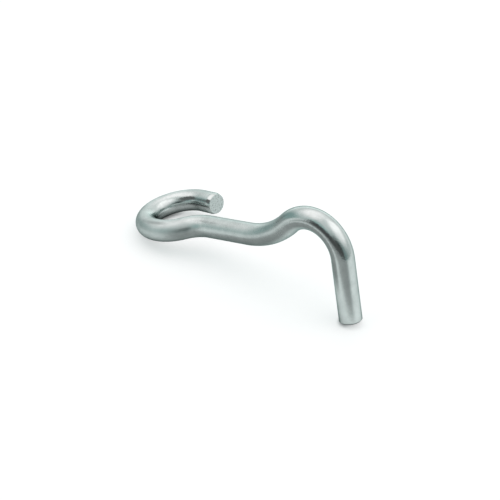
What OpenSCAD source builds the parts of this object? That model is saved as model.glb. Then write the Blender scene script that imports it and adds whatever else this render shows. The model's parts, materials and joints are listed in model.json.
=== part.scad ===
// Door stop hook: one round bar bent at four places.
// From its free end the bar makes an open eye, a neck that brings it back in line with the eye,
// a straight shank, a long rise, a tight crown and a straight leg.
// The eye hooks through a staple, and the leg drops into a hole or a ring.
// The hook stands as it comes to rest, on the low side of the eye and the foot of the leg.

/* [Bar] */
// Diameter of the round bar
bar_d = 8; // [6:0.5:10]

/* [Eye] */
// Straight length at the free end of the eye
free_len = 7; // [4:0.5:12]
// Bend radius of the eye, to the middle of the bar
eye_r = 12.5; // [10:0.5:16]
// Angle that the bar turns through round the eye
eye_angle = 232; // [215:1:245]

/* [Neck] */
// Straight length between the eye and the neck
neck_feed = 1; // [0.5:0.5:6]
// Bend radius of the neck, to the middle of the bar
neck_r = 12; // [8:0.5:18]
// Angle that the neck turns back through
neck_angle = 46.5; // [38:0.5:55]

/* [Shank] */
// Straight length between the neck and the rise
shank_len = 18.5; // [12:0.5:30]
// Turn about the shank from the plane of the eye to the plane of the hump
plane_turn = 96; // [88:1:102]

/* [Hump] */
// Bend radius of the rise, to the middle of the bar
rise_r = 30; // [20:0.5:40]
// Angle that the bar rises through
rise_angle = 38; // [30:0.5:48]
// Straight length between the rise and the crown
crown_feed = 1; // [0.5:0.5:8]
// Bend radius of the crown, to the middle of the bar
crown_r = 13; // [10:0.5:18]
// Angle that the bar turns down through over the crown
crown_angle = 127; // [115:0.5:136]

/* [Leg] */
// Straight length from the crown to the foot
leg_len = 22.5; // [18:0.5:35]

/* [Ends] */
// Length of the bar that the cropping tool drew in at the free end
crop_len = 1.4; // [0.5:0.1:2.5]
// How far the crop drew the bar's surface in
crop_depth = 0.4; // [0.1:0.05:0.5]
// Chamfer round the foot of the leg
foot_chamfer = 0.5; // [0.2:0.1:1]

/* [Hidden] */

$fn = 72;
bar_r = bar_d / 2;
// Bending draws the bar thinner by this much on its radius, and each straight laps into the bends beside it
thinning = 0.01;
lap = 0.05;
bend_bar_r = bar_r - thinning;
// Step between the stations along a bend, in degrees
station_step = 2;
// Most that the hook can be tilted or leaned to find its balance, in degrees
most_tilt = 45;
most_lean = 25;
// Halvings of the range in each search
tilt_halvings = 18;
lean_halvings = 14;

// The bar as a bender's table, from the free end to the foot. Each row turns the bar about its own
// axis, feeds a straight length and then bends it.
TURN = 0;
FEED = 1;
RADIUS = 2;
ANGLE = 3;
BENDS = [
    [0, free_len, eye_r, eye_angle],
    [180, neck_feed, neck_r, neck_angle],
    [-plane_turn, shank_len, rise_r, rise_angle],
    [180, crown_feed, crown_r, crown_angle]
];

// ---- Frames along the bar: it runs along +Y, and bends towards -X ----

function moved(x, y) = [[1, 0, 0, x], [0, 1, 0, y], [0, 0, 1, 0], [0, 0, 0, 1]];
function about_bar(a) = [[cos(a), 0, sin(a), 0], [0, 1, 0, 0], [-sin(a), 0, cos(a), 0], [0, 0, 0, 1]];
function about_z(a) = [[cos(a), -sin(a), 0, 0], [sin(a), cos(a), 0, 0], [0, 0, 1, 0], [0, 0, 0, 1]];
function round_bend(r, a) = moved(-r, 0) * about_z(a) * moved(r, 0);

// Frame at the start of row i of the table, where i past its end is the start of the leg
function row_frame(i) = i == 0 ? about_bar(BENDS[0][TURN])
    : row_frame(i - 1) * moved(0, BENDS[i - 1][FEED])
      * round_bend(BENDS[i - 1][RADIUS], BENDS[i - 1][ANGLE])
      * about_bar(i < len(BENDS) ? BENDS[i][TURN] : 0);

// A station is a point on the middle line, the bar's direction there and its radius
function station(m, r) = [[m[0][3], m[1][3], m[2][3]], [m[0][1], m[1][1], m[2][1]], r];
function bend_stations(i) = let (
        row = BENDS[i],
        start = row_frame(i) * moved(0, row[FEED]),
        n = ceil(row[ANGLE] / station_step))
    [for (k = [0:n]) station(start * round_bend(row[RADIUS], row[ANGLE] * k / n), bend_bar_r)];

// The crown and the leg stand on the foot, and the rest of the bar stands on the eye
CROWN = len(BENDS) - 1;
leg_frame = row_frame(len(BENDS));
EYE_SIDE = [
    station(row_frame(0), bar_r - crop_depth),
    station(row_frame(0) * moved(0, crop_len), bar_r),
    for (i = [0:CROWN - 1]) each bend_stations(i)
];
FOOT_SIDE = [
    each bend_stations(CROWN),
    station(leg_frame * moved(0, leg_len - foot_chamfer), bar_r),
    station(leg_frame * moved(0, leg_len), bar_r - foot_chamfer)
];
STATIONS = concat(EYE_SIDE, FOOT_SIDE);

// ---- How far the bar reaches, and where its centre of mass lies ----

function across(dir, st) = dir - (dir * st[1]) * st[1];
function reach(dir, st) = dir * st[0] + st[2] * norm(across(dir, st));
function farthest(dir, list) = max([for (st = list) reach(dir, st)]);
// Point of a list's surface that lies farthest along dir
function touch(dir, list) = let (
        reaches = [for (st = list) reach(dir, st)],
        st = list[search(max(reaches), reaches)[0]],
        out = across(dir, st))
    st[0] + st[2] * out / norm(out);
function total(list, i = 0, so_far = 0) = i == len(list) ? so_far
    : total(list, i + 1, i == 0 ? list[0] : so_far + list[i]);
STEPS = [for (i = [1:len(STATIONS) - 1]) norm(STATIONS[i][0] - STATIONS[i - 1][0])];
MOMENTS = [for (i = [1:len(STATIONS) - 1])
    STEPS[i - 1] * (STATIONS[i][0] + STATIONS[i - 1][0]) / 2];
centre_of_mass = total(MOMENTS) / total(STEPS);

// ---- How the hook comes to rest ----

// The shank's frame: forward along the shank, up in the plane of the hump, and across both
shank_frame = row_frame(2);
forward = [for (k = [0:2]) shank_frame[k][1]];
shank_up = [for (k = [0:2]) -shank_frame[k][0]];
sideways = cross(shank_up, forward);
// Upward direction when the shank is leaned about itself and then tilted up at the hump
function upward(tilt, lean) = sin(tilt) * forward
    + cos(tilt) * (cos(lean) * shank_up + sin(lean) * sideways);
// Tilt at which the eye and the foot touch the ground together
function level_tilt(lean, lo = -most_tilt, hi = most_tilt, n = tilt_halvings) =
    let (mid = (lo + hi) / 2, down = -upward(mid, lean))
    n == 0 ? mid
    : farthest(down, EYE_SIDE) > farthest(down, FOOT_SIDE) ? level_tilt(lean, lo, mid, n - 1)
    : level_tilt(lean, mid, hi, n - 1);
// Distance of the centre of mass to the side of the line between the two touching points
function overhang(lean) = let (
        up = upward(level_tilt(lean), lean),
        heel = touch(-up, EYE_SIDE),
        line = touch(-up, FOOT_SIDE) - heel)
    (centre_of_mass - heel) * cross(up, line) / norm(cross(up, line));
// Lean at which the centre of mass lies over that line
function balanced_lean(lo = -most_lean, hi = most_lean, n = lean_halvings) =
    let (mid = (lo + hi) / 2)
    n == 0 ? mid
    : overhang(mid) > 0 ? balanced_lean(lo, mid, n - 1)
    : balanced_lean(mid, hi, n - 1);

rest_lean = balanced_lean();
up = upward(level_tilt(rest_lean), rest_lean);
// The hook's own axes at rest: X along the ground under the shank, Z up
ahead = let (flat = forward - (forward * up) * up) flat / norm(flat);
left = cross(up, ahead);
middle = [for (dir = [ahead, left]) (farthest(dir, STATIONS) - farthest(-dir, STATIONS)) / 2];
ground = -farthest(-up, STATIONS);
REST = [
    [ahead.x, ahead.y, ahead.z, -middle[0]],
    [left.x, left.y, left.z, -middle[1]],
    [up.x, up.y, up.z, -ground],
    [0, 0, 0, 1]
];

// ---- The solids ----

// Straight length of bar along +Y between two bends
module straight(length) {
    translate([0, -lap, 0])
        rotate([-90, 0, 0])
            cylinder(r = bar_r, h = length + 2 * lap);
}

// Last straight length of the bar along +Y, drawn in by depth over its last edge_len
module bar_end(length, edge_len, depth) {
    rotate([-90, 0, 0])
        rotate_extrude()
            polygon([
                [0, -lap], [bar_r, -lap], [bar_r, length - edge_len], [bar_r - depth, length], [0, length]
            ]);
}

// Bend of the bar that starts along +Y and turns towards -X
module bend(radius, angle) {
    translate([-radius, 0, 0])
        rotate_extrude(angle = angle)
            translate([radius, 0])
                circle(r = bend_bar_r);
}

// Places its children where that bend ends
module after_bend(radius, angle) {
    translate([-radius, 0, 0])
        rotate([0, 0, angle])
            translate([radius, 0, 0])
                children();
}

module free_end() {
    translate([0, free_len, 0])
        mirror([0, 1, 0])
            bar_end(free_len, crop_len, crop_depth);
}

module leg() {
    bar_end(leg_len, foot_chamfer, foot_chamfer);
}

// The bar from row i of the table to the foot
module bar_from(i = 0) {
    if (i == len(BENDS)) {
        leg();
    } else {
        row = BENDS[i];
        rotate([0, row[TURN], 0]) {
            if (i == 0)
                free_end();
            else
                straight(row[FEED]);
            translate([0, row[FEED], 0]) {
                bend(row[RADIUS], row[ANGLE]);
                after_bend(row[RADIUS], row[ANGLE])
                    bar_from(i + 1);
            }
        }
    }
}

module hook() {
    color("silver")
        multmatrix(REST)
            bar_from();
}

hook();
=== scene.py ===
import json
import math
from collections import namedtuple

import bmesh
import bpy
from bpy.props import FloatProperty, FloatVectorProperty, IntProperty, PointerProperty
from mathutils import Matrix, Vector, noise


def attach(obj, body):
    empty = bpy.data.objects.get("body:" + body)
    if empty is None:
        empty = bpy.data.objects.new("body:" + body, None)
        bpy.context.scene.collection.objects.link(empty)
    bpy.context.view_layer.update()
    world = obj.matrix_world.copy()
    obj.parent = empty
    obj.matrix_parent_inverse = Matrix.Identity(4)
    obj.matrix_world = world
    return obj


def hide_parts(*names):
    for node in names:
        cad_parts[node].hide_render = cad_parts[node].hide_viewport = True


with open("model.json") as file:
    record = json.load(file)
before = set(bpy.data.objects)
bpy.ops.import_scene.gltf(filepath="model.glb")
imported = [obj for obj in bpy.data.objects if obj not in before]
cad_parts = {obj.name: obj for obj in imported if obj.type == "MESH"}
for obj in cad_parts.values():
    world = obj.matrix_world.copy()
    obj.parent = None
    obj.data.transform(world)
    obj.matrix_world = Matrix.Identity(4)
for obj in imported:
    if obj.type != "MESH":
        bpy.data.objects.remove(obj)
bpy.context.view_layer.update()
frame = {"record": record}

bl_info = {
    "name": "Door stop hook",
    "version": (1, 0, 0),
    "blender": (4, 5, 0),
    "location": "3D View > Sidebar > Door hook",
    "description": "Bends a door stop hook from one round bar, finishes it and stands it in a light tent",
    "category": "Add Mesh",
}

MM = 0.001


def srgb(code):
    """Linear colour of an sRGB hex code."""
    levels = [int(code[i:i + 2], 16) / 255 for i in (1, 3, 5)]
    return tuple(c / 12.92 if c <= 0.04045 else ((c + 0.055) / 1.055) ** 2.4 for c in levels)


# ---- Sizes and colours ----

def length(name, about, value):
    """A length property whose default is given in millimetres."""
    return FloatProperty(name=name, description=about, default=value * MM, min=0.0,
                         subtype="DISTANCE", unit="LENGTH", precision=4)


def angle(name, about, value):
    """An angle property whose default is given in degrees."""
    return FloatProperty(name=name, description=about, default=math.radians(value),
                         subtype="ANGLE", unit="ROTATION")


def colour(name, about, code):
    """A colour property whose default is an sRGB hex code."""
    return FloatVectorProperty(name=name, description=about, default=srgb(code), size=3,
                               min=0.0, max=1.0, subtype="COLOR")


def share(name, about, value):
    """A property that runs from 0 to 1."""
    return FloatProperty(name=name, description=about, default=value, min=0.0, max=1.0, subtype="FACTOR")


class HookSizes(bpy.types.PropertyGroup):
    """Sizes of the bent bar, in the order in which the bender makes it."""
    bar_d: length("Bar", "Diameter of the round bar", 8)
    free_len: length("Free end", "Straight length at the free end of the eye", 7)
    eye_r: length("Eye radius", "Bend radius of the eye, to the middle of the bar", 12.5)
    eye_angle: angle("Eye angle", "Angle that the bar turns through round the eye", 232)
    neck_feed: length("Neck feed", "Straight length between the eye and the neck", 1)
    neck_r: length("Neck radius", "Bend radius of the neck", 12)
    neck_angle: angle("Neck angle", "Angle that the neck turns back through", 46.5)
    shank_len: length("Shank", "Straight length between the neck and the rise", 18.5)
    plane_turn: angle("Plane turn", "Turn from the plane of the eye to the plane of the hump", 96)
    rise_r: length("Rise radius", "Bend radius of the rise", 30)
    rise_angle: angle("Rise angle", "Angle that the bar rises through", 38)
    crown_feed: length("Crown feed", "Straight length between the rise and the crown", 1)
    crown_r: length("Crown radius", "Bend radius of the crown", 13)
    crown_angle: angle("Crown angle", "Angle that the bar turns down through over the crown", 127)
    leg_len: length("Leg", "Straight length from the crown to the foot", 22.5)
    crop_len: length("Crop length", "Length of bar that the cropping tool drew in", 1.4)
    crop_depth: length("Crop depth", "How far the crop drew the bar's surface in", 0.4)
    crop_rim: length("Crop rim", "Rounding of the rim round the cropped face", 0.12)
    foot_chamfer: length("Foot chamfer", "Chamfer round the foot of the leg", 0.5)
    foot_rim: length("Foot rim", "Rounding of the edges of the foot's chamfer", 0.12)
    bend_flat: length("Bend flattening", "How far a bend's outside is flattened", 0.05)
    dent_depth: length("Dents", "Depth of the shallow waviness left by handling", 0.012)
    face_relief: length("Face relief", "Depth of the torn grain on the cropped face", 0.10)
    step_along: length("Step along", "Distance between the rings of the mesh", 0.4)
    steps_round: IntProperty(name="Steps round", description="Points round each ring", default=96,
                             min=24, max=256)


class HookFinish(bpy.types.PropertyGroup):
    """Colours and roughness of the steel."""
    steel: colour("Steel", "Colour of the tumbled bar", "#C9D2D0")
    steel_deep: colour("Steel, deeper", "Colour of the bar where the film of oxide is thicker", "#B6BFBD")
    edge: colour("Steel, edge on", "Tint of the bar's mirror where it is seen edge on", "#93A3A0")
    cut: colour("Cropped steel", "Colour of the freshly torn face", "#C8D2D0")
    # painted shade: the darker colour that the cropped face gets in the low spots of its torn grain
    cut_pit_shade: colour("Cropped steel, dark", "Colour in the pits of the torn face", "#5C6663")
    roughness: share("Roughness", "Roughness of the tumbled bar", 0.44)
    rubbed_roughness: share("Rubbed roughness", "Roughness where the satin is rubbed", 0.13)
    cut_roughness: share("Cut roughness", "Roughness of the cropped face", 0.5)


class StageSettings(bpy.types.PropertyGroup):
    """Floor, light tent and camera."""
    floor_size: length("Floor", "Side of the square floor", 4000)
    floor_colour: colour("Floor", "Colour of the matt white floor", "#C8C8C8")
    floor_lift: share("Floor lift", "White that the camera and the steel see added to the floor", 0.51)
    tent_level: FloatProperty(name="Tent", description="Light that the tent gives between its zones",
                              default=0.7, min=0.0)
    camera_azimuth: angle("Azimuth", "Way round the hook to the camera", 38.436)
    camera_elevation: angle("Elevation", "Height of the camera above the horizon", 34.496)
    camera_distance: length("Distance", "Distance from the camera to the aim point", 494.26)
    camera_aim: FloatVectorProperty(name="Aim", description="Point that the camera looks at",
                                    default=(0.00156, -0.00402, 0.00901), subtype="XYZ", unit="LENGTH")
    camera_lens: FloatProperty(name="Lens", description="Focal length, in millimetres, on a 36 mm sensor",
                               default=101.42, min=1.0)


# ---- Nodes ----

def add(tree, kind, settings=None, **links):
    """Adds a node with its settings, its unlinked values and the sockets linked into it. An input is
    given by its name, or by its number after an underscore (a colour Mix has its colours at 6 and 7)."""
    node = tree.nodes.new(kind)
    for key, value in (settings or {}).items():
        setattr(node, key, value)
    for key, value in links.items():
        socket = node.inputs[int(key[1:])] if key[1:].isdigit() else node.inputs[key.replace("_", " ")]
        if isinstance(value, bpy.types.NodeSocket):
            tree.links.new(value, socket)
        else:
            socket.default_value = value
    return node


def rgba(c):
    """A colour with nothing see-through about it."""
    return (c[0], c[1], c[2], 1.0)


def new_material(name):
    """An empty node material and its tree."""
    material = bpy.data.materials.new(name)
    material.use_nodes = True
    material.node_tree.nodes.clear()
    return material, material.node_tree


# Real sizes of the finish, in millimetres: width and depth of the pits and of the lines that drawing
# left, the lines' length, the width of the clouds in the film of oxide, and width and depth of the
# tears in a cropped face. The tumbling media leaves pits of about 0.1 mm, which are too fine to show,
# so they are drawn as coarse as PIT.
PIT = 0.42
PIT_DEPTH = 0.030
DRAW_LINE = 0.55
DRAW_LINE_DEPTH = 0.010
DRAW_LINE_RUN = 28.0
CLOUD = 7.0
TEAR = 0.45
TEAR_DEPTH = 0.03
# The pits make the surface up to this much smoother or rougher from spot to spot
GRAIN_SMOOTHER = 0.85
GRAIN_ROUGHER = 1.2


def satin_stainless_steel(finish):
    """Stainless bar, cold drawn and then tumbled: a soft mirror, broken up by fine pits and faint
    lines along the bar, so its highlights have grainy edges and its reflections stay readable. Where
    it is rubbed it is nearly a mirror."""
    material, tree = new_material("satin_stainless_steel")
    place = add(tree, "ShaderNodeAttribute", {"attribute_name": "bar_place"}).outputs["Vector"]
    pits = add(tree, "ShaderNodeTexNoise", None, Vector=place, Scale=1 / PIT,
               Detail=2.0, Roughness=0.6).outputs["Fac"]
    along = add(tree, "ShaderNodeMapping", None, Vector=place,
                Scale=(1.0, DRAW_LINE / DRAW_LINE_RUN, 1.0)).outputs["Vector"]
    lines = add(tree, "ShaderNodeTexNoise", None, Vector=along, Scale=1 / DRAW_LINE, Detail=3.0,
                Roughness=0.55).outputs["Fac"]
    clouds = add(tree, "ShaderNodeTexNoise", None, Vector=place, Scale=1 / CLOUD, Detail=4.0,
                 Roughness=0.65).outputs["Fac"]
    tone = add(tree, "ShaderNodeMapRange", {"interpolation_type": "SMOOTHSTEP"}, Value=clouds,
               From_Min=0.3, From_Max=0.75).outputs["Result"]
    colour_mix = add(tree, "ShaderNodeMix", {"data_type": "RGBA"}, Factor=tone, _6=rgba(finish.steel),
                     _7=rgba(finish.steel_deep)).outputs[2]
    rubbed = add(tree, "ShaderNodeAttribute", {"attribute_name": "rubbed"}).outputs["Fac"]
    worn = add(tree, "ShaderNodeMapRange", None, Value=rubbed, To_Min=finish.roughness,
               To_Max=finish.rubbed_roughness).outputs["Result"]
    grain = add(tree, "ShaderNodeMapRange", None, Value=pits, From_Min=0.3, From_Max=0.7,
                To_Min=GRAIN_SMOOTHER, To_Max=GRAIN_ROUGHER).outputs["Result"]
    rough = add(tree, "ShaderNodeMath", {"operation": "MULTIPLY"}, _0=worn, _1=grain).outputs[0]
    low = add(tree, "ShaderNodeBump", None, Strength=1.0, Distance=DRAW_LINE_DEPTH * MM, Height=lines)
    fine = add(tree, "ShaderNodeBump", None, Strength=1.0, Distance=PIT_DEPTH * MM, Height=pits,
               Normal=low.outputs["Normal"])
    steel = add(tree, "ShaderNodeBsdfPrincipled", None, Base_Color=colour_mix, Metallic=1.0,
                Roughness=rough, Specular_Tint=rgba(finish.edge), Normal=fine.outputs["Normal"])
    add(tree, "ShaderNodeOutputMaterial", None, Surface=steel.outputs["BSDF"])
    return material


def cropped_steel(finish):
    """The end left by a cropping press: the bar tears across its grain, so the face is paler and
    duller than the bar, with painted shade: a darker colour laid into the low spots of its grain."""
    material, tree = new_material("cropped_steel")
    place = add(tree, "ShaderNodeAttribute", {"attribute_name": "bar_place"}).outputs["Vector"]
    tears = add(tree, "ShaderNodeTexNoise", None, Vector=place, Scale=1 / TEAR, Detail=3.0,
                Roughness=0.7).outputs["Fac"]
    # painted shade in the pits: the low spots of the torn grain's bump get the dark colour
    pit_shade_mask = add(tree, "ShaderNodeMapRange", {"interpolation_type": "SMOOTHSTEP"}, Value=tears,
                 From_Min=0.32, From_Max=0.5).outputs["Result"]
    colour_mix = add(tree, "ShaderNodeMix", {"data_type": "RGBA"}, Factor=pit_shade_mask,
                     _6=rgba(finish.cut_pit_shade), _7=rgba(finish.cut)).outputs[2]
    bump = add(tree, "ShaderNodeBump", None, Strength=1.0, Distance=TEAR_DEPTH * MM, Height=tears)
    steel = add(tree, "ShaderNodeBsdfPrincipled", None, Base_Color=colour_mix, Metallic=1.0,
                Roughness=finish.cut_roughness, Normal=bump.outputs["Normal"])
    add(tree, "ShaderNodeOutputMaterial", None, Surface=steel.outputs["BSDF"])
    return material


# ---- The bent bar ----

# The lengths along the bar at which a bend starts and ends, and the way to its outside
Bend = namedtuple("Bend", "start end outside")


def smooth(x):
    """Eases from 0 to 1 as x goes from 0 to 1."""
    x = min(1.0, max(0.0, x))
    return x * x * (3 - 2 * x)


def carried_round(here, roll, radius, swing):
    """A frame carried round a bend by an angle. The roll turns the side that the bar bends to."""
    to_centre = roll @ Matrix.Translation((-radius, 0, 0))
    return here @ to_centre @ Matrix.Rotation(swing, 4, "Z") @ to_centre.inverted()


def bar_line(s):
    """The bar's middle line, from the free end to the foot: its stations, its bends and the frame in
    which the leg starts. A station is a frame whose Y runs along the bar, and the length so far. The
    frames don't roll, so that a way across the bar is the same side of it all along."""
    # each row turns the bar about itself, feeds a straight length and bends it at a radius by an angle
    table = [
        (0.0, s.free_len, s.eye_r, s.eye_angle),
        (math.pi, s.neck_feed, s.neck_r, s.neck_angle),
        (-s.plane_turn, s.shank_len, s.rise_r, s.rise_angle),
        (math.pi, s.crown_feed, s.crown_r, s.crown_angle),
    ]
    stations, bends = [], []
    here, turned, run = Matrix.Identity(4), 0.0, 0.0

    def straight(feed):
        n = max(1, round(feed / s.step_along))
        for k in range(n):
            stations.append((here @ Matrix.Translation((0, feed * k / n, 0)), run + feed * k / n))

    for turn, feed, radius, angle_round in table:
        straight(feed)
        here = here @ Matrix.Translation((0, feed, 0))
        run += feed
        turned += turn
        roll = Matrix.Rotation(turned, 4, "Y")
        arc = radius * angle_round
        n = max(2, round(arc / s.step_along))
        for k in range(n):
            stations.append((carried_round(here, roll, radius, angle_round * k / n), run + arc * k / n))
        bends.append(Bend(run, run + arc, roll @ Vector((1, 0, 0))))
        here = carried_round(here, roll, radius, angle_round)
        run += arc
    leg_start = here.copy()
    straight(s.leg_len)
    stations.append((here @ Matrix.Translation((0, s.leg_len, 0)), run + s.leg_len))
    return stations, bends, leg_start


def axes_from(first, second):
    """A right-handed frame whose X is first and whose Y leans towards second."""
    x = first.normalized()
    y = (second - x * second.dot(x)).normalized()
    return Matrix((x, y, x.cross(y))).transposed()


def rest_place(s, leg_start):
    """Where the bender's frame lies when the hook stands as the frame has it: the eye's middle and
    the leg are brought to the record's mounts."""
    mounts = {m["name"]: m for m in frame["record"]["mounts"]}
    eye_middle = Vector((-s.eye_r, s.free_len, 0))
    leg_way = leg_start.to_3x3() @ Vector((0, 1, 0))
    leg_middle = leg_start.translation + leg_way * (s.leg_len - s.foot_chamfer) / 2
    leg_there = Vector(mounts["leg"]["pos_m"])
    eye_there = Vector(mounts["eye"]["pos_m"])
    here = axes_from(leg_way, leg_middle - eye_middle)
    there = axes_from(Vector(mounts["leg"]["axis"]), leg_there - eye_there)
    turn = there @ here.transposed()
    return Matrix.Translation(leg_there - turn @ leg_middle) @ turn.to_4x4()


# How the drawn-in end sweeps in: 1 would be a straight chamfer
CROP_SWEEP = 1.15


def bar_radius(s, run, total):
    """Radius of the bar at a length along it, with its drawn-in free end and chamfered foot."""
    full = s.bar_d / 2
    drawn = max(0.0, 1 - run / s.crop_len)
    radius = full - s.crop_depth * drawn ** CROP_SWEEP
    if run < s.crop_rim:
        radius -= s.crop_rim - math.sqrt(s.crop_rim ** 2 - (s.crop_rim - run) ** 2)
    return min(radius, full - max(0.0, run - (total - s.foot_chamfer)))


def bend_flattening(s, run, bends, way):
    """How far the bar's surface is pressed in at a place on the outside of a bend."""
    ease = s.bar_d / 2
    pressed = 0.0
    for bend in bends:
        inside_bend = smooth((run - bend.start) / ease) * smooth((bend.end - run) / ease)
        pressed += inside_bend * max(0.0, way.dot(bend.outside)) ** 2
    return s.bend_flat * pressed


# Where along the bar the rubbing in the eye ends and over what length each rubbing fades, in
# millimetres, how far round the bar it reaches past the middle of its sides (0 to 1), how far it
# smooths the shank, and how far it goes at most (0 to 1)
RUB_EYE_END = 44
RUB_FADE = 14
RUB_ROUND = 0.2
RUB_SHANK = 0.5
RUB_MOST = 0.88


def rubbed_share(s, run, bends, way):
    """How far the satin is rubbed smooth: by the staple inside the eye, a little along the shank, by
    hands and the keeper over the crown and the leg, and most by the cropping blade at the free end.
    0 is satin as tumbled and 1 is smooth."""
    eye, neck, _, crown = bends
    inside_eye = smooth((RUB_EYE_END - run / MM) / RUB_FADE + 0.5)
    facing_in = smooth(RUB_ROUND - (1 + RUB_ROUND) * way.dot(eye.outside))
    along_shank = RUB_SHANK * smooth((run - neck.start) / MM / RUB_FADE + 0.5)
    over_crown = (1 - RUB_SHANK) * smooth((run - crown.start) / MM / RUB_FADE + 0.5)
    burnished = smooth(2 - run / s.crop_len)
    return max(RUB_MOST * max(inside_eye * facing_in, along_shank + over_crown), burnished)


# Extra rings by the cropped face, in shares of its rim, and the least gap to the rings between the
# ends, in millimetres
RIM_RINGS = (0.05, 0.15, 0.3, 0.55, 0.8, 1.0, 1.5)
RING_GAP = 0.05
# Rings that close an end, and over how many of them from the rim the torn grain sets in
FACE_RINGS = 14
TEAR_RINGS = 2
# The foot is cut more cleanly than the free end, and its face is this much as rough
FOOT_RELIEF = 0.3
# Waves that handling left: how many lie across half the bar, and their length along it in millimetres
DENTS_ACROSS = 0.8
DENT_RUN = 9
# The torn grain: tears in a millimetre, how fast finer ones weaken, their step in size, and their steps
TEARS_PER_MM = 1.1
TEAR_FALL = 0.6
TEAR_STEP = 2.2
TEAR_STEPS = 4
# The bar's material slots
SKIN, TORN = 0, 1


def ring_places(s, stations):
    """Frames and lengths along the bar at which the mesh has its rings: those by the cropped face, the
    stations between the ends, and those at the edges of the foot's chamfer."""
    (first, _), (last, total) = stations[0], stations[-1]
    from_crop = [0.0] + [s.crop_rim * part for part in RIM_RINGS]
    from_foot = [s.foot_chamfer + s.foot_rim, s.foot_chamfer, s.foot_chamfer - s.foot_rim, s.foot_rim, 0.0]
    start, end = from_crop[-1] + RING_GAP * MM, total - from_foot[0] - RING_GAP * MM
    return ([(first @ Matrix.Translation((0, run, 0)), run) for run in from_crop]
            + [(here, run) for here, run in stations if start < run < end]
            + [(last @ Matrix.Translation((0, -back, 0)), total - back) for back in from_foot])


def build_bar(s):
    """The bar's mesh, standing in the part's frame. For the finish, each point keeps its place in the
    straight bar, in millimetres, and how far it is rubbed."""
    stations, bends, leg_start = bar_line(s)
    total = stations[-1][1]
    place = rest_place(s, leg_start)
    turns = [2 * math.pi * k / s.steps_round for k in range(s.steps_round)]
    ways = [Vector((math.cos(turn), 0, math.sin(turn))) for turn in turns]
    mesh = bmesh.new()
    bar_place = mesh.verts.layers.float_vector.new("bar_place")
    rubbed = mesh.verts.layers.float.new("rubbed")

    def point(here, run, across, lift=0.0):
        """A point of the mesh, across the bar from its middle line and lifted along it."""
        vert = mesh.verts.new(place @ here @ (across + Vector((0, lift, 0))))
        vert[bar_place] = (across + Vector((0, run, 0))) / MM
        vert[rubbed] = rubbed_share(s, run, bends, across.normalized())
        return vert

    def skin_ring(here, run):
        """A ring of points on the skin of the bar."""
        past_crop = smooth((run - s.crop_len) / s.bar_d)
        before_foot = smooth((total - run - s.foot_chamfer) / s.bar_d)
        ring = []
        for way in ways:
            wave = noise.noise(Vector((way.x * DENTS_ACROSS, run / MM / DENT_RUN, way.z * DENTS_ACROSS)))
            dent = s.dent_depth * (0.5 + 0.5 * wave) * past_crop * before_foot
            radius = bar_radius(s, run, total) - bend_flattening(s, run, bends, way) - dent
            ring.append(point(here, run, way * radius))
        return ring

    def join(ring, following, slot):
        """Faces between a ring of points and the next, which is a single point where the rings end."""
        for k, vert in enumerate(ring):
            beside = (k + 1) % len(ring)
            farther = [following[beside], following[k]] if len(following) > 1 else following
            face = mesh.faces.new([vert, ring[beside]] + farther)
            face.material_index = slot

    def close(here, run, ring, inward, relief):
        """Closes an end of the bar with a face that is torn inwards by up to relief. Inward is the
        sign of that way along the bar."""
        radius = bar_radius(s, run, total)
        for j in range(1, FACE_RINGS):
            inner = []
            for way in ways:
                across = way * radius * (1 - j / FACE_RINGS)
                spot = Vector((across.x, across.z, 0)) / MM * TEARS_PER_MM
                torn = 0.5 + 0.5 * noise.fractal(spot, TEAR_FALL, TEAR_STEP, TEAR_STEPS)
                inner.append(point(here, run, across, inward * relief * torn * smooth(j / TEAR_RINGS)))
            join(ring, inner, TORN)
            ring = inner
        join(ring, [point(here, run, Vector(), inward * relief / 2)], TORN)

    places = ring_places(s, stations)
    rings = [skin_ring(here, run) for here, run in places]
    for ring, following in zip(rings, rings[1:]):
        join(ring, following, SKIN)
    close(*places[0], rings[0], 1, s.face_relief)
    close(*places[-1], rings[-1], -1, s.face_relief * FOOT_RELIEF)
    for face in mesh.faces:
        face.smooth = True
    bmesh.ops.recalc_face_normals(mesh, faces=mesh.faces)
    data = bpy.data.meshes.new("hook_bar")
    mesh.to_mesh(data)
    mesh.free()
    return data


class DOORHOOK_OT_bar(bpy.types.Operator):
    """Bend the hook from one round bar and finish it"""
    bl_idname = "doorhook.bar"
    bl_label = "Bend the hook"

    def execute(self, context):
        data = build_bar(context.scene.hook_sizes)
        bar = bpy.data.objects.new("hook_bar", data)
        context.collection.objects.link(bar)
        finish = context.scene.hook_finish
        bar.data.materials.append(satin_stainless_steel(finish))
        bar.data.materials.append(cropped_steel(finish))
        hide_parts("hook")
        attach(bar, "root")
        return {"FINISHED"}


# ---- Stage ----

def towards(azimuth, elevation):
    """Direction from the hook to a viewer at an azimuth and elevation in degrees."""
    a, e = math.radians(azimuth), math.radians(elevation)
    return Vector((math.sin(a) * math.cos(e), -math.cos(a) * math.cos(e), math.sin(e)))


# Corners of a square, in order round it
SQUARE = ((-1, -1), (1, -1), (1, 1), (-1, 1))


def flat_sheet(name, corners, material):
    """An object with one face."""
    mesh = bmesh.new()
    mesh.faces.new([mesh.verts.new(corner) for corner in corners])
    data = bpy.data.meshes.new(name)
    mesh.to_mesh(data)
    mesh.free()
    data.materials.append(material)
    return bpy.data.objects.new(name, data)


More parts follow.
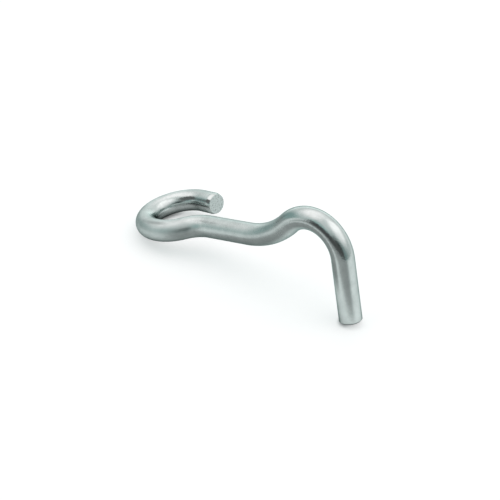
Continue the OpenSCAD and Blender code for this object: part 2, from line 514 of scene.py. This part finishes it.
# Zones of the light tent, seen from the hook: what each is, azimuth and elevation of its middle, half
# width and half height (all in degrees), softness of its edge, brightness and colour. Later zones lie
# over earlier ones.
WARM, PLAIN, COOL = "#FFF7F8", "#FFFFFF", "#DAFCFA"
TENT_ZONES = [
    ("right softbox", 108, 54, 36, 29, 0.35, 2.05, WARM),
    ("left softbox", 264, 61, 38, 21, 0.4, 1.58, WARM),
    ("low window", 213, -3, 36, 23, 0.5, 2.0, PLAIN),
    ("dim right side", 58, 3, 54, 46, 0.8, 0.3, COOL),
    ("dim left side", 286, 0, 33, 25, 0.35, 0.5, COOL),
    ("dim gap", -14, 21, 18, 18, 0.7, 0.6, COOL),
    ("camera and its stand", 37, 21, 21, 15, 0.6, 0.05, COOL),
]


def lay_zone(tree, way, light, zone):
    """The tent's light with one more zone over it, an ellipse whose edge is soft."""
    _, azimuth, elevation, half_wide, half_high, edge, level, code = zone
    out, aside = towards(azimuth, elevation), towards(azimuth + 90, 0)
    above = out.cross(aside)
    axes = (aside / math.sin(math.radians(half_wide)), above / math.sin(math.radians(half_high)), out)
    across, along, ahead = [add(tree, "ShaderNodeVectorMath", {"operation": "DOT_PRODUCT"}, _0=way,
                                _1=axis).outputs["Value"] for axis in axes]
    place = add(tree, "ShaderNodeCombineXYZ", None, X=across, Y=along).outputs["Vector"]
    spread = add(tree, "ShaderNodeVectorMath", {"operation": "LENGTH"}, _0=place).outputs["Value"]
    inside = add(tree, "ShaderNodeMapRange", {"interpolation_type": "SMOOTHSTEP"}, Value=spread,
                 From_Min=1 + edge, From_Max=1 - edge).outputs["Result"]
    in_front = add(tree, "ShaderNodeMath", {"operation": "GREATER_THAN"}, _0=ahead, _1=0.0).outputs[0]
    cover = add(tree, "ShaderNodeMath", {"operation": "MULTIPLY"}, _0=inside, _1=in_front).outputs[0]
    return add(tree, "ShaderNodeMix", {"data_type": "RGBA"}, Factor=cover, _6=light,
               _7=rgba([c * level for c in srgb(code)])).outputs[2]


def build_world(stage):
    """Light tent: an even cool dome with soft boxes and dim sides. The camera sees plain white, and so
    does the steel between the zones."""
    world = bpy.data.worlds.new("light_tent")
    world.use_nodes = True
    tree = world.node_tree
    tree.nodes.clear()
    way = add(tree, "ShaderNodeTexCoord").outputs["Generated"]
    rays = add(tree, "ShaderNodeLightPath").outputs
    shown = add(tree, "ShaderNodeMath", {"operation": "MAXIMUM"}, _0=rays["Is Glossy Ray"],
                _1=rays["Is Transmission Ray"]).outputs[0]
    light = add(tree, "ShaderNodeMix", {"data_type": "RGBA"}, Factor=shown,
                _6=rgba([c * stage.tent_level for c in srgb(COOL)]), _7=(1, 1, 1, 1)).outputs[2]
    for zone in TENT_ZONES:
        light = lay_zone(tree, way, light, zone)
    tent = add(tree, "ShaderNodeBackground", None, Color=light, Strength=1.0)
    white = add(tree, "ShaderNodeBackground", None, Color=(1, 1, 1, 1), Strength=1.0)
    both = add(tree, "ShaderNodeMixShader", None, _0=rays["Is Camera Ray"], _1=tent.outputs[0],
               _2=white.outputs[0])
    add(tree, "ShaderNodeOutputWorld", None, Surface=both.outputs[0])
    return world


# Painted shade on the floor, seen only in the steel: wedges by the azimuth of their middle and their half
# width in degrees, how far out they start and over what distance they deepen in millimetres, and how soft
# their sides are in degrees; a patch in front of the shank by its middle and half sizes in
# millimetres and the softness of its edge; and the share of light left in them all
WEDGES = [(23, 54), (280, 26)]
WEDGE_START = 52
WEDGE_SOFT = 56
WEDGE_SIDE = 12
PATCH_MIDDLE = (0, -31, 0)
PATCH_HALF = (26, 28, 1)
PATCH_EDGE = 0.3
SHADE_LEVEL = 0.41
# Painted contact shadow: within what distance the hook dims the card's white, in millimetres, as the
# camera and as the steel see it, and how finely that is worked out
CONTACT_REACH = 1.4
CONTACT_IN_STEEL = 14
CONTACT_SAMPLES = 6


def floor_shade(tree, rays):
    """How deep each spot of the floor lies in painted shade, from 0 to 1, for rays from the steel alone.
    """
    spot = add(tree, "ShaderNodeNewGeometry").outputs["Position"]
    far = add(tree, "ShaderNodeVectorMath", {"operation": "LENGTH"}, _0=spot).outputs["Value"]
    away = add(tree, "ShaderNodeMapRange", {"interpolation_type": "SMOOTHSTEP"}, Value=far,
               From_Min=WEDGE_START * MM, From_Max=(WEDGE_START + WEDGE_SOFT) * MM).outputs["Result"]
    way = add(tree, "ShaderNodeVectorMath", {"operation": "NORMALIZE"}, _0=spot).outputs["Vector"]
    offset = add(tree, "ShaderNodeVectorMath", {"operation": "SUBTRACT"}, _0=spot,
                 _1=Vector(PATCH_MIDDLE) * MM).outputs["Vector"]
    across = add(tree, "ShaderNodeVectorMath", {"operation": "DIVIDE"}, _0=offset,
                 _1=Vector(PATCH_HALF) * MM).outputs["Vector"]
    spread = add(tree, "ShaderNodeVectorMath", {"operation": "LENGTH"}, _0=across).outputs["Value"]
    shade = add(tree, "ShaderNodeMapRange", {"interpolation_type": "SMOOTHSTEP"}, Value=spread,
                From_Min=1 + PATCH_EDGE, From_Max=1 - PATCH_EDGE).outputs["Result"]
    for azimuth, half_wide in WEDGES:
        facing = add(tree, "ShaderNodeVectorMath", {"operation": "DOT_PRODUCT"}, _0=way,
                     _1=towards(azimuth, 0)).outputs["Value"]
        beside = add(tree, "ShaderNodeMapRange", {"interpolation_type": "SMOOTHSTEP"}, Value=facing,
                     From_Min=math.cos(math.radians(half_wide + WEDGE_SIDE)),
                     From_Max=math.cos(math.radians(half_wide - WEDGE_SIDE))).outputs["Result"]
        wedge = add(tree, "ShaderNodeMath", {"operation": "MULTIPLY"}, _0=beside, _1=away).outputs[0]
        shade = add(tree, "ShaderNodeMath", {"operation": "MAXIMUM"}, _0=wedge, _1=shade).outputs[0]
    return add(tree, "ShaderNodeMath", {"operation": "MULTIPLY"}, _0=shade,
               _1=rays["Is Glossy Ray"]).outputs[0]


def matt_white_card(stage):
    """Matt white card: pale, and even as the camera sees its colour, so it takes a soft shadow and has no
    sheen of its own. A glow lifts it to white for the camera and for the steel; near the hook the glow
    fades, a painted contact shadow, and for the steel alone painted shade darkens its colour and glow as
    well."""
    material, tree = new_material("matt_white_card")
    rays = add(tree, "ShaderNodeLightPath").outputs
    shade = floor_shade(tree, rays)
    reach = add(tree, "ShaderNodeMapRange", None, Value=rays["Is Camera Ray"],
                To_Min=CONTACT_IN_STEEL * MM, To_Max=CONTACT_REACH * MM).outputs["Result"]
    # painted contact shadow: ambient occlusion dims the card near the hook, over a short reach for the
    # camera and a longer one for the steel
    left_by_contact_shadow = add(tree, "ShaderNodeAmbientOcclusion", {"samples": CONTACT_SAMPLES},
                   Distance=reach).outputs["AO"]
    left_by_steel_contact_shadow = add(tree, "ShaderNodeMapRange", None, Value=rays["Is Glossy Ray"], To_Min=1.0,
                   To_Max=left_by_contact_shadow).outputs["Result"]
    # painted shade for the steel alone: the wedges and the patch take the card down to SHADE_LEVEL
    left_by_painted_shade = add(tree, "ShaderNodeMapRange", None, Value=shade, To_Min=left_by_steel_contact_shadow,
              To_Max=SHADE_LEVEL).outputs["Result"]
    tint = add(tree, "ShaderNodeVectorMath", {"operation": "SCALE"}, _0=tuple(stage.floor_colour),
               Scale=left_by_painted_shade).outputs["Vector"]
    card = add(tree, "ShaderNodeBsdfDiffuse", None, Color=tint)
    seen = add(tree, "ShaderNodeMath", {"operation": "MAXIMUM"}, _0=rays["Is Camera Ray"],
               _1=rays["Is Glossy Ray"]).outputs[0]
    seen = add(tree, "ShaderNodeMath", {"operation": "MAXIMUM"}, _0=seen,
               _1=rays["Is Transmission Ray"]).outputs[0]
    # the glow fades with the painted contact shadow and the painted shade
    lift = add(tree, "ShaderNodeMath", {"operation": "MULTIPLY"}, _0=left_by_contact_shadow, _1=left_by_painted_shade).outputs[0]
    lift = add(tree, "ShaderNodeMath", {"operation": "MULTIPLY"}, _0=lift, _1=seen).outputs[0]
    lift = add(tree, "ShaderNodeMath", {"operation": "MULTIPLY"}, _0=lift, _1=stage.floor_lift).outputs[0]
    glow = add(tree, "ShaderNodeEmission", None, Color=(1, 1, 1, 1), Strength=lift)
    both = add(tree, "ShaderNodeAddShader", None, _0=card.outputs[0], _1=glow.outputs[0])
    add(tree, "ShaderNodeOutputMaterial", None, Surface=both.outputs[0])
    return material


def build_floor(stage):
    """The floor: one wide sheet at the height on which the hook stands."""
    half = stage.floor_size / 2
    corners = [(x * half, y * half, 0) for x, y in SQUARE]
    return flat_sheet("floor", corners, matt_white_card(stage))


# Painted dark reflections: faintly glowing cards that hang upright close to the hook and show only in the
# steel: the azimuth at which each hangs, in degrees, its distance, how far it is shifted to the side, its
# half width, its lower and upper edge and the softness of its edges, in millimetres, and its brightness
CARDS = {
    "card_by_crown": {"azimuth": -5, "away": 40, "aside": 67, "half_wide": 57, "low": 26, "high": 49,
                      "soft": 10, "level": 0.09},
    "card_over_eye": {"azimuth": 0, "away": 12, "aside": -54, "half_wide": 20, "low": 14, "high": 41,
                      "soft": 5, "level": 0.16},
}


def dark_reflection_card(half_wide, half_high, soft, level):
    """A painted dark reflection: a faint, even glow with no surface of its own. It fades out to clear at
    its edges, so that it leaves no hard line in the steel."""
    material, tree = new_material("dark_reflection_card")
    spot = add(tree, "ShaderNodeTexCoord").outputs["Object"]
    parts = add(tree, "ShaderNodeSeparateXYZ", None, Vector=spot).outputs
    cover = 1.0
    for part, half in ((parts["X"], half_wide), (parts["Z"], half_high)):
        off = add(tree, "ShaderNodeMath", {"operation": "ABSOLUTE"}, _0=part).outputs[0]
        inside = add(tree, "ShaderNodeMapRange", {"interpolation_type": "SMOOTHSTEP"}, Value=off,
                     From_Min=(half + soft / 2) * MM, From_Max=(half - soft / 2) * MM).outputs["Result"]
        cover = add(tree, "ShaderNodeMath", {"operation": "MULTIPLY"}, _0=inside, _1=cover).outputs[0]
    # painted reflection: a faint glow that only the steel sees stands in for something dark near the hook
    dim = add(tree, "ShaderNodeEmission", None, Color=(1, 1, 1, 1), Strength=level)
    clear = add(tree, "ShaderNodeBsdfTransparent")
    both = add(tree, "ShaderNodeMixShader", None, _0=cover, _1=clear.outputs[0], _2=dim.outputs[0])
    add(tree, "ShaderNodeOutputMaterial", None, Surface=both.outputs[0])
    return material


def build_card(name, card):
    """A card of painted dark reflection in its place beside the hook."""
    half_wide, half_high, soft = card["half_wide"], (card["high"] - card["low"]) / 2, card["soft"]
    corners = [(x * (half_wide + soft) * MM, 0, z * (half_high + soft) * MM) for x, z in SQUARE]
    sheet = flat_sheet(name, corners, dark_reflection_card(half_wide, half_high, soft, card["level"]))
    out, aside = towards(card["azimuth"], 0), towards(card["azimuth"] + 90, 0)
    middle = Vector((0, 0, (card["low"] + card["high"]) / 2))
    sheet.location = (out * card["away"] + aside * card["aside"] + middle) * MM
    sheet.rotation_euler = (0, 0, math.radians(card["azimuth"]))
    # the card shows only in reflections, as a painted dark reflection, and casts no shadow
    sheet.visible_camera = sheet.visible_diffuse = sheet.visible_shadow = False
    return sheet


# Width of the sensor in millimetres, and the nearest and farthest that the camera sees in metres
SENSOR_WIDTH = 36.0
CLIP = (0.01, 20.0)


def build_camera(stage):
    """The camera, looking at its aim point from its azimuth and elevation."""
    back = towards(math.degrees(stage.camera_azimuth), math.degrees(stage.camera_elevation))
    data = bpy.data.cameras.new("camera")
    data.lens = stage.camera_lens
    data.sensor_width = SENSOR_WIDTH
    data.clip_start, data.clip_end = CLIP
    camera = bpy.data.objects.new("camera", data)
    camera.location = Vector(stage.camera_aim) + back * stage.camera_distance
    camera.rotation_euler = (-back).to_track_quat("-Z", "Y").to_euler()
    return camera


class DOORHOOK_OT_stage(bpy.types.Operator):
    """Lay the floor, hang the light tent and set up the camera"""
    bl_idname = "doorhook.stage"
    bl_label = "Set the stage"

    def execute(self, context):
        stage = context.scene.hook_stage
        floor = build_floor(stage)
        context.collection.objects.link(floor)
        cards = [build_card(name, card) for name, card in CARDS.items()]
        for card in cards:
            context.collection.objects.link(card)
        context.scene.world = build_world(stage)
        camera = build_camera(stage)
        context.collection.objects.link(camera)
        context.scene.camera = camera
        context.scene.view_settings.view_transform = "Standard"
        return {"FINISHED"}


class DOORHOOK_PT_panel(bpy.types.Panel):
    """Panel that lists the steps"""
    bl_label = "Door stop hook"
    bl_idname = "DOORHOOK_PT_panel"
    bl_space_type = "VIEW_3D"
    bl_region_type = "UI"
    bl_category = "Door hook"

    def draw(self, context):
        layout = self.layout
        for operator in (DOORHOOK_OT_bar, DOORHOOK_OT_stage):
            layout.operator(operator.bl_idname)
        for group in (context.scene.hook_sizes, context.scene.hook_finish, context.scene.hook_stage):
            column = layout.column()
            for name in group.__annotations__:
                column.prop(group, name)


CLASSES = (HookSizes, HookFinish, StageSettings, DOORHOOK_OT_bar, DOORHOOK_OT_stage, DOORHOOK_PT_panel)


def register():
    for cls in CLASSES:
        bpy.utils.register_class(cls)
    bpy.types.Scene.hook_sizes = PointerProperty(type=HookSizes)
    bpy.types.Scene.hook_finish = PointerProperty(type=HookFinish)
    bpy.types.Scene.hook_stage = PointerProperty(type=StageSettings)


def unregister():
    del bpy.types.Scene.hook_stage
    del bpy.types.Scene.hook_finish
    del bpy.types.Scene.hook_sizes
    for cls in reversed(CLASSES):
        bpy.utils.unregister_class(cls)


def main():
    register()
    bpy.ops.doorhook.bar()
    bpy.ops.doorhook.stage()


if __name__ == "__main__":
    main()
